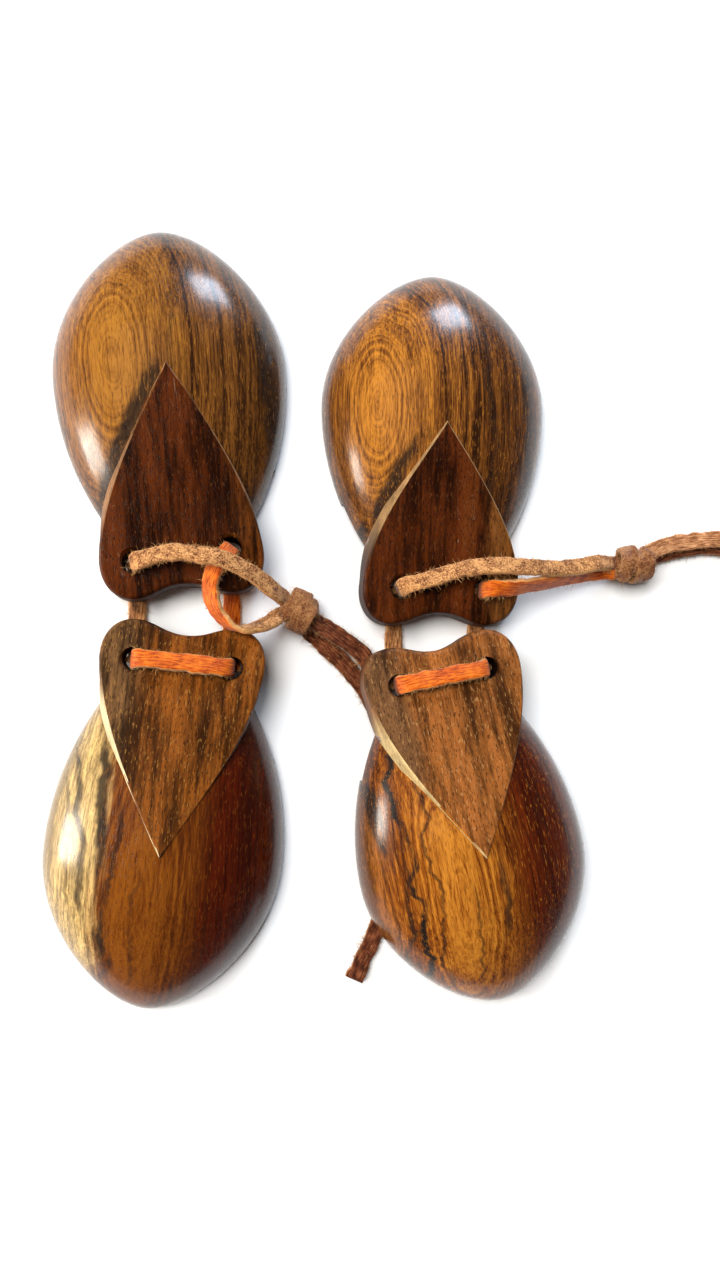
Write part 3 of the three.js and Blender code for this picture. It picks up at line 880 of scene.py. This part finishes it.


# Each shell is from its own piece of wood. Lengths are in cm in the shell's frame.
# centre, pull, reach: the middle of the golden figure, how long it is drawn, how far it glows.
# rings, warp: how close its rings are, and how wavy. dark, mid, light: the wood's colours.
# zones: (side, edge, width, strength, colour) of wood that changes across the grain.
# veins: (u, lean, width, sway, from v, to v, strength) of dark lines along the grain.
# plate, plate_zone: the ear plate's colour, and (side, edge, colour) of its darker or paler side.
# wall, bare: the pale wood of the plate's walls, and the lit side that keeps it, 0 for both; on the
# other, shaded side the V wall takes the plate's colour as painted shade.
VEIN_COLOUR = (0.012, 0.008, 0.006)
# Nearly black: painted shade down inside the lace holes.
BORE_SHADE_COLOUR = (0.012, 0.006, 0.004)
SCRATCH_COLOUR = (0.40, 0.28, 0.18)
FIGURES = {
    ("left", "upper"): dict(
        centre=(-1.25, 5.6), pull=0.42, reach=2.6, rings=2.6, warp=0.16, seed=3.0,
        dark=(0.026, 0.008, 0.002), mid=(0.165, 0.056, 0.009), light=(0.34, 0.135, 0.018),
        zones=((1, 1.9, 0.9, 0.75, (0.055, 0.019, 0.004)),
               (1, 0.2, 0.8, 0.35, (0.17, 0.056, 0.009))),
        veins=((-0.22, 0.52, 0.36, 0.3, 1.4, 5.9, 0.9), (2.35, -0.05, 0.30, 0.4, 1.0, 7.5, 0.9),
               (-0.7, 0.55, 0.16, 0.5, 6.4, 8.6, 0.5), (0.15, 0.05, 0.10, 0.4, 5.0, 8.8, 0.35)),
        plate=(0.056, 0.011, 0.0015), plate_zone=(1, 1.1, (0.105, 0.028, 0.004)),
        wall=(0.30, 0.14, 0.055), bare=0.0),
    ("right", "upper"): dict(
        centre=(-1.65, 5.3), pull=0.40, reach=2.5, rings=3.0, warp=0.16, seed=11.0,
        dark=(0.026, 0.008, 0.002), mid=(0.160, 0.050, 0.008), light=(0.46, 0.170, 0.020),
        zones=((1, 0.5, 1.0, 0.45, (0.080, 0.020, 0.003)),),
        veins=((0.02, 0.60, 0.34, 0.3, 1.0, 4.9, 0.9), (1.15, -0.05, 0.14, 0.5, 1.0, 8.0, 0.5),
               (2.2, -0.1, 0.22, 0.4, 1.0, 7.0, 0.6), (-0.6, 0.5, 0.14, 0.5, 6.6, 8.4, 0.5)),
        plate=(0.056, 0.011, 0.0015), plate_zone=(1, 1.0, (0.115, 0.040, 0.008)),
        wall=(0.36, 0.20, 0.08), bare=0.0),
    ("left", "lower"): dict(
        centre=(0.4, 7.0), pull=0.22, reach=2.4, rings=2.0, warp=0.20, seed=23.0,
        dark=(0.040, 0.009, 0.002), mid=(0.110, 0.024, 0.002), light=(0.21, 0.060, 0.005),
        zones=((-1, 0.5, 0.9, 0.92, (0.070, 0.005, 0.0005)),
               (1, 1.15, 0.7, 0.95, (0.60, 0.40, 0.15))),
        veins=((1.35, -0.10, 0.20, 0.5, 2.0, 8.6, 0.9), (1.85, -0.16, 0.14, 0.5, 2.5, 7.6, 0.8),
               (1.02, 0.04, 0.10, 0.6, 4.0, 9.0, 0.7), (2.2, -0.10, 0.08, 0.4, 3.0, 7.2, 0.6),
               (0.45, 0.02, 0.08, 0.5, 5.6, 9.0, 0.45)),
        plate=(0.150, 0.042, 0.005), plate_zone=(1, 0.75, (0.115, 0.058, 0.022)),
        wall=(0.85, 0.68, 0.38), bare=1.0),
    ("right", "lower"): dict(
        centre=(0.7, 6.2), pull=0.26, reach=2.2, rings=2.2, warp=0.22, seed=37.0,
        dark=(0.045, 0.010, 0.002), mid=(0.200, 0.050, 0.004), light=(0.47, 0.170, 0.018),
        zones=((-1, 0.1, 1.0, 0.92, (0.085, 0.008, 0.0006)),
               (1, 2.15, 0.4, 0.8, (0.36, 0.115, 0.018))),
        veins=((1.72, -0.03, 0.12, 0.75, 1.5, 9.0, 1.0), (2.12, -0.12, 0.24, 0.35, 2.0, 5.4, 0.95),
               (1.95, 0.05, 0.10, 0.6, 4.6, 8.4, 0.8), (1.25, 0.02, 0.07, 0.8, 2.5, 8.8, 0.7),
               (0.35, 0.05, 0.06, 0.6, 5.6, 8.8, 0.6), (-0.35, 0.10, 0.12, 0.5, 4.6, 7.6, 0.75)),
        plate=(0.190, 0.060, 0.012), plate_zone=(1, 0.95, (0.070, 0.034, 0.014)),
        wall=(0.62, 0.44, 0.20), bare=1.0),
}


def ring_figure(finish, place, spec):
    """Growth rings cut by the dome: the distance from a long axis, made uneven.

    distance = length of (u - u0, (v - v0) * pull, z / 3) + noise, and a ring's value is a
    one-dimensional noise read along that distance.
    """
    u0, v0 = spec["centre"]
    lean = stretched(finish, place, (1.0, spec["pull"], 0.33), (-u0, -v0 * spec["pull"], -0.5))
    drift = grain(finish, place, (0.7, 0.20, 0.5), 3.0, shift=(spec["seed"], 0, 0))
    distance = finish.node("VectorMath", (lean,), operation="LENGTH").outputs["Value"]
    uneven = finish.math("MULTIPLY_ADD", drift, spec["warp"] * 3.0, distance)
    coarse = finish.noise(uneven, spec["rings"], 1.5, 0.6, dimensions="1D")
    fine = finish.noise(uneven, spec["rings"] * 6.0, 2.0, 0.6, dimensions="1D")
    return uneven, coarse, fine


def vein(finish, across, along, broken, line, seed):
    """A dark line along the grain: close to u = u0 + lean * (v - 5.5) + sway, between two v."""
    u0, lean, width, sway, low, high, strength = line
    wander_noise = finish.noise(finish.math("ADD", along, seed), 0.85, 3.0, 0.6, dimensions="1D")
    middle = finish.math("MULTIPLY_ADD", along, lean, u0 - 5.5 * lean - sway * 0.5)
    middle = finish.math("MULTIPLY_ADD", wander_noise, sway, middle)
    gap = finish.math("ABSOLUTE", finish.math("SUBTRACT", across, middle))
    body = finish.between(gap, width * 0.25, width, 1.0, 0.0)
    ends = finish.math("MULTIPLY", finish.between(along, low, low + 0.8),
                       finish.between(along, high - 0.8, high, 1.0, 0.0))
    body = finish.math("MULTIPLY", finish.math("MULTIPLY", body, ends), broken)
    return finish.math("MULTIPLY", body, strength)


def pores(finish, place, seed):
    """Fine short pores along the grain: thresholded noise, eight times as long as wide."""
    field = grain(finish, place, (40, 4.5, 40), 1.5, shift=(0, 0, seed))
    return finish.between(field, 0.56, 0.66)


def dome_finish(side, row):
    """Polished dome: a golden ring figure, fine fibres, zones across the grain, dark veins, and
    painted shade darkening it towards the rim.
    """
    spec = FIGURES[side, row]
    f = Finish(f"{side}_{row}_dome_wood")
    place = shell_coordinates(f, side, row)
    across, along, up = f.node("SeparateXYZ", (place,)).outputs
    uneven, coarse, fine = ring_figure(f, place, spec)
    streak = grain(f, place, (9.0, 0.55, 4.0), 5.0, 0.62, shift=(spec["seed"], 3, 0))
    hair = grain(f, place, (30.0, 1.6, 20.0), 3.0, 0.6, shift=(spec["seed"], 0, 3))
    # Painted shade: the colour darkens over the lowest 12.5 mm of the dome, towards its rim.
    painted_rim_shade = f.between(up, 0.0, 1.25, -0.34, 0.0)
    tone = f.math("ADD", f.between(uneven, 0.35, 0.35 + spec["reach"], 0.74, 0.20), painted_rim_shade)
    for part, weight in ((coarse, 1.05), (fine, 0.95), (streak, 1.35), (hair, 1.40)):
        tone = f.math("MULTIPLY_ADD", f.math("SUBTRACT", part, 0.5), weight, tone)
    colour = f.ramp(tone, (0.0, spec["dark"]), (0.40, spec["mid"]), (0.95, spec["light"]))
    wave = grain(f, place, (0.5, 0.22, 0.4), 2.0, shift=(7, spec["seed"], 0))
    for direction, edge, width, strength, tint in spec["zones"]:
        reach = f.math("MULTIPLY_ADD", across, float(direction), -1.0)
        reach = f.math("MULTIPLY_ADD", wave, 1.2, reach)
        share = f.between(f.math("MULTIPLY_ADD", streak, 0.8, reach), edge, edge + width)
        shaded = f.ramp(tone, (0.0, scaled(tint, 0.35)), (0.75, scaled(tint, 1.25)))
        colour = f.mix(f.math("MULTIPLY", share, strength), colour, shaded)
    split = grain(f, place, (2.2, 0.5, 1), 4.0, 0.65, shift=(5, 5, spec["seed"]))
    broken = f.between(split, 0.34, 0.52, 0.15, 1.0)
    ink = 0.0
    for number, line in enumerate(spec["veins"]):
        one = vein(f, across, along, broken, line, spec["seed"] + 2.7 * number)
        ink = f.math("MAXIMUM", ink, one)
    colour = f.mix(ink, colour, VEIN_COLOUR)
    pore = pores(f, place, spec["seed"])
    colour = f.mix(f.math("MULTIPLY", pore, 0.45), colour, spec["dark"])
    glint = f.between(grain(f, place, (34, 4.0, 34), 1.0, shift=(4, 0, spec["seed"])), 0.62, 0.70)
    colour = f.mix(f.math("MULTIPLY", glint, 0.28), colour, scaled(spec["light"], 1.5))
    scuff = grain(f, place, (3.5, 2.2, 3.5), 6.0, 0.7, shift=(2, 0, spec["seed"]))
    roughness = f.between(scuff, 0.35, 0.75, 0.24, 0.42)
    height = f.math("SUBTRACT", f.math("MULTIPLY", hair, 0.5), f.math("MULTIPLY", pore, 0.5))
    return f.finish(Base_Color=colour, Roughness=roughness, Normal=f.bump(height, 0.00006, 0.7),
                    Specular_IOR_Level=0.15, Coat_Weight=0.75, Coat_Roughness=0.17,
                    Coat_IOR=1.32)


def plate_finish(side, row):
    """The ear plate: darker, satin, with long streaks, short pale flecks and fine scratches."""
    spec = FIGURES[side, row]
    f = Finish(f"{side}_{row}_plate_wood")
    place = shell_coordinates(f, side, row)
    across = f.node("SeparateXYZ", (place,)).outputs[0]
    base = spec["plate"]
    streak = grain(f, place, (8.0, 0.5, 3.0), 5.0, 0.6, shift=(0, spec["seed"], 1))
    broad = grain(f, place, (1.5, 0.22, 0.8), 4.0, 0.6, shift=(spec["seed"], 1, 0))
    tone = f.math("MULTIPLY_ADD", broad, 0.75, f.math("MULTIPLY", streak, 0.55))
    tone = f.between(tone, 0.50, 0.80)
    colour = f.ramp(tone, (0.0, scaled(base, 0.22)), (0.5, base), (1.0, scaled(base, 1.8)))
    direction, edge, tint = spec["plate_zone"]
    reach = f.math("MULTIPLY_ADD", across, float(direction), -0.8)
    reach = f.math("MULTIPLY_ADD", broad, 1.6, reach)
    shaded = f.ramp(tone, (0.0, scaled(tint, 0.12)), (0.6, tint), (1.0, scaled(tint, 1.8)))
    share = f.math("MULTIPLY", f.between(reach, edge - 0.3, edge + 0.5), 0.85)
    colour = f.mix(share, colour, shaded)
    pore = pores(f, place, spec["seed"] + 2)
    colour = f.mix(f.math("MULTIPLY", pore, 0.75), colour, scaled(base, 0.12))
    fleck = grain(f, place, (30, 3.4, 30), 2.0, shift=(0, 4, spec["seed"]))
    share = f.math("MULTIPLY", f.between(fleck, 0.60, 0.68), 0.40)
    colour = f.mix(share, colour, tuple(np.minimum(np.array(base) * (3.0, 5.0, 9.0), 0.7)))
    lean = stretched(f, place, (0.9, 0.012, 1), (spec["seed"] * 3, 0, 0))
    scratch = f.math("ABSOLUTE", f.math("SUBTRACT", f.noise(lean, 9.0, 0.0), 0.5))
    scratch = f.math("MULTIPLY", f.between(scratch, 0.001, 0.004, 1.0, 0.0),
                     f.between(broad, 0.50, 0.62))
    colour = f.mix(f.math("MULTIPLY", scratch, 0.35), colour, SCRATCH_COLOUR)
    scuff = grain(f, place, (2.5, 1.5, 2.5), 6.0, 0.7)
    roughness = f.between(scuff, 0.3, 0.7, 0.36, 0.54)
    height = f.math("SUBTRACT", f.math("MULTIPLY", streak, 0.4), f.math("MULTIPLY", pore, 0.7))
    return f.finish(Base_Color=colour, Roughness=roughness, Normal=f.bump(height, 0.00008, 0.7),
                    Specular_IOR_Level=0.15)


def plain_wood(side, row, zone, colour, rough):
    """Unpolished wood for the walls of the plate, the underside and the lace holes, whose near black
    colour is painted shade.

    The walls are pale only beside the V, on the lit side that spec["bare"] gives (0 for both), and
    take the plate's own colour round the ears. On the shaded side of the V they take the plate's
    darker colour too, as painted shade.
    """
    spec = FIGURES[side, row]
    f = Finish(f"{side}_{row}_{zone}_wood")
    place = shell_coordinates(f, side, row)
    streak = grain(f, place, (8.0, 0.5, 8.0), 5.0, 0.6, shift=(spec["seed"], 0, 7))
    broad = grain(f, place, (1.6, 0.2, 1.2), 3.0, shift=(0, 0, spec["seed"]))
    tone = f.math("MULTIPLY_ADD", streak, 0.6, f.math("MULTIPLY", broad, 0.5))
    tone = f.between(tone, 0.40, 0.75)
    dark, mid, light = (scaled(colour, part) for part in (0.55, 0.85, 1.15))
    shade = f.ramp(tone, (0.0, dark), (0.5, mid), (1.0, light))
    if zone == "wall":
        across, along, _ = f.node("SeparateXYZ", (place,)).outputs
        own = f.ramp(tone, (0.0, scaled(spec["plate"], 0.3)), (1.0, scaled(spec["plate"], 1.5)))
        pale = f.between(f.math("MULTIPLY_ADD", broad, 1.2, along), 1.9, 3.1)
        # Painted shade: where a side is given, the V wall on the other, shaded side keeps the plate's
        # darker colour instead of the pale wood.
        if spec["bare"]:
            bare_side = f.between(f.math("MULTIPLY", across, spec["bare"]), -0.05, 0.05)
            pale = f.math("MULTIPLY", pale, bare_side)
        shade = f.mix(pale, own, shade)
    pore = pores(f, place, spec["seed"] + 5)
    shade = f.mix(f.math("MULTIPLY", pore, 0.5), shade, scaled(colour, 0.3))
    height = f.math("SUBTRACT", f.math("MULTIPLY", streak, 0.6), f.math("MULTIPLY", pore, 0.8))
    roughness = f.between(streak, 0.3, 0.7, rough - 0.08, rough + 0.08)
    return f.finish(Base_Color=shade, Roughness=roughness, Normal=f.bump(height, 0.0001, 0.8),
                    Specular_IOR_Level=0.3)


def leather(name, grain_stops, back_stops, tail_stops):
    """Lace leather: one face smooth and streaked along its length, the other rough suede.

    The attribute grain_side is 1 on the smooth face and 0 on the rough one, edge is 1 at the cut
    edges, and stage is 0 in loops and straps, 1 in a knot and 2 in a free end.
    """
    f = Finish(name)
    coordinates = f.node("TexCoord")
    uv, place = coordinates.outputs["UV"], coordinates.outputs["Object"]
    side_of = f.node("Attribute", attribute_name="grain_side").outputs["Fac"]
    edge = f.node("Attribute", attribute_name="edge").outputs["Fac"]
    stage = f.node("Attribute", attribute_name="stage").outputs["Fac"]
    fibre = grain(f, uv, (34, 3.2, 1), 5.0, 0.65)
    blotch = grain(f, place, (420, 420, 420), 4.0, 0.6)
    nap = grain(f, place, (2400, 2400, 2400), 4.0, 0.7)
    smooth_tone = f.math("MULTIPLY_ADD", fibre, 0.8, f.math("MULTIPLY", blotch, 0.4))
    smooth_tone = f.between(smooth_tone, 0.42, 0.78)
    smooth = f.ramp(smooth_tone, *grain_stops)
    rough_tone = f.math("MULTIPLY_ADD", nap, 0.80, f.math("MULTIPLY", blotch, 0.45))
    rough_tone = f.between(rough_tone, 0.44, 0.76)
    rough = f.ramp(rough_tone, *back_stops)
    tail = f.ramp(smooth_tone, *tail_stops)
    face = f.between(f.math("MULTIPLY_ADD", nap, 0.25, side_of), 0.55, 0.75)
    colour = f.mix(face, rough, smooth)
    knotted = f.between(stage, 0.45, 0.95)
    colour = f.mix(knotted, colour, f.mix(0.55, rough, DEEP[1][1]))
    colour = f.mix(f.between(stage, 1.3, 1.9), colour, tail)
    cut = f.between(f.math("MULTIPLY_ADD", nap, 0.5, edge), 0.75, 1.15)
    pale = f.mix(0.55, rough, CUT_EDGE)
    colour = f.mix(f.math("MULTIPLY", cut, f.between(stage, 0.4, 1.0, 0.85, 0.35)), colour, pale)
    roughness = f.between(face, 0.0, 1.0, 0.95, 0.52)
    height = f.math("ADD", f.math("MULTIPLY", nap, 0.6), f.math("MULTIPLY", fibre, 0.6))
    return f.finish(Base_Color=colour, Roughness=roughness, Normal=f.bump(height, 0.00022, 0.9),
                    Specular_IOR_Level=0.25, Sheen_Weight=0.12, Sheen_Roughness=0.5)


def fibre_finish(name, colour):
    """Loose fibres: pale leather, a little uneven."""
    f = Finish(name)
    place = f.node("TexCoord").outputs["Object"]
    tone = grain(f, place, (700, 700, 700), 2.0)
    shade = f.ramp(f.between(tone, 0.35, 0.65), (0.0, scaled(colour, 0.55)), (1.0, colour))
    return f.finish(Base_Color=shade, Roughness=0.9, Specular_IOR_Level=0.2)


ORANGE = ((0.0, (0.16, 0.016, 0.001)), (0.35, (0.47, 0.070, 0.003)), (1.0, (0.80, 0.20, 0.012)))
SUEDE = ((0.0, (0.045, 0.014, 0.005)), (0.42, (0.27, 0.100, 0.034)), (1.0, (0.68, 0.34, 0.125)))
DEEP = ((0.0, (0.022, 0.007, 0.004)), (0.5, (0.110, 0.028, 0.011)), (1.0, (0.28, 0.090, 0.036)))
TAN_END = ((0.0, (0.12, 0.035, 0.012)), (0.5, (0.42, 0.17, 0.065)), (1.0, (0.78, 0.42, 0.20)))
CUT_EDGE = (0.74, 0.38, 0.13)
FIBRE = (0.70, 0.37, 0.14)


def paint():
    """Gives every piece its finish."""
    for (side, row), piece in shells.items():
        spec = FIGURES[side, row]
        under = tuple(0.55 * np.array(spec["mid"]) + 0.25 * np.array(spec["light"]))
        for material in (
            dome_finish(side, row), plate_finish(side, row),
            plain_wood(side, row, "wall", spec["wall"], 0.6),
            plain_wood(side, row, "underside", under, 0.55),
            # the lace holes, painted nearly black as shade
            plain_wood(side, row, "bore", BORE_SHADE_COLOUR, 0.8),
        ):
            piece.data.materials.append(material)
    loose = fibre_finish("lace_fibres", FIBRE)
    orange = leather("orange_lace", ORANGE, SUEDE, DEEP)
    pale_end = leather("pale_ended_lace", ORANGE, SUEDE, TAN_END)
    rough = leather("rough_lace", SUEDE, SUEDE, DEEP)
    finishes = {"right_a": pale_end, "left_hinge_a": rough,
                "right_hinge_a": rough, "right_hinge_b": rough}
    for key, (band, fuzz) in laces.items():
        band.data.materials.append(finishes.get(key, orange))
        fuzz.data.materials.append(loose)


paint()


# ---------------------------------------------------------------- studio
def soft_light(name, place, target, size, power, colour):
    """A window: a lit rectangle at place that faces target."""
    data = bpy.data.lights.new(name, "AREA")
    data.shape = "RECTANGLE"
    data.size, data.size_y = (s * MM for s in size)
    data.energy = power
    data.color = colour
    lamp = bpy.data.objects.new(name, data)
    bpy.context.scene.collection.objects.link(lamp)
    lamp.matrix_world = aim(place, target)


SHEET_HALF_SIDE, SHEET_LEVEL = 3000, -0.05
DIM_SURROUNDINGS, PALE_BACKDROP = 0.07, 0.97


def make_overhead():
    """A wide soft light from above, which leaves no disc of its own in the polish."""
    data = bpy.data.lights.new("overhead_silk", "SUN")
    data.energy = 3.75
    data.angle = math.radians(40)
    data.color = (1.0, 0.985, 0.96)
    silk = bpy.data.objects.new("overhead_silk", data)
    bpy.context.scene.collection.objects.link(silk)
    silk.matrix_world = aim((-300, 210, 700), (0, 0, 0))
    silk.visible_glossy = False


def make_surroundings():
    """A room that is pale behind the castanets and dim in their polish."""
    world = bpy.data.worlds.new("studio")
    bpy.context.scene.world = world
    world.use_nodes = True
    tree = world.node_tree
    path = tree.nodes.new("ShaderNodeLightPath")
    strength = tree.nodes.new("ShaderNodeMapRange")
    strength.inputs["To Min"].default_value = DIM_SURROUNDINGS
    strength.inputs["To Max"].default_value = PALE_BACKDROP
    tree.links.new(path.outputs["Is Camera Ray"], strength.inputs["Value"])
    background = tree.nodes["Background"]
    background.inputs["Color"].default_value = (1, 1, 1, 1)
    tree.links.new(strength.outputs[0], background.inputs["Strength"])


def make_studio():
    """A white sheet under the castanets, a warm window low on the left and a cool one far off."""
    side, level = SHEET_HALF_SIDE, SHEET_LEVEL
    corners = [(-side, -side, level), (side, -side, level), (side, side, level), (-side, side, level)]
    floor = new_piece("floor", corners, [(0, 1, 2, 3)])
    sheet = Finish("white_sheet").finish(Base_Color=(0.94, 0.94, 0.94, 1), Roughness=0.9,
                                         Specular_IOR_Level=0.0)
    floor.data.materials.append(sheet)
    soft_light("warm_window", (-700, -60, 150), (0, 0, 0), (300, 150), 5.0, (1.0, 0.94, 0.84))
    soft_light("cool_window", (200, 640, 260), (0, 60, 0), (240, 170), 4.0, (0.70, 0.83, 1.0))
    make_overhead()
    make_surroundings()
    bpy.context.scene.view_settings.view_transform = "Standard"


make_studio()
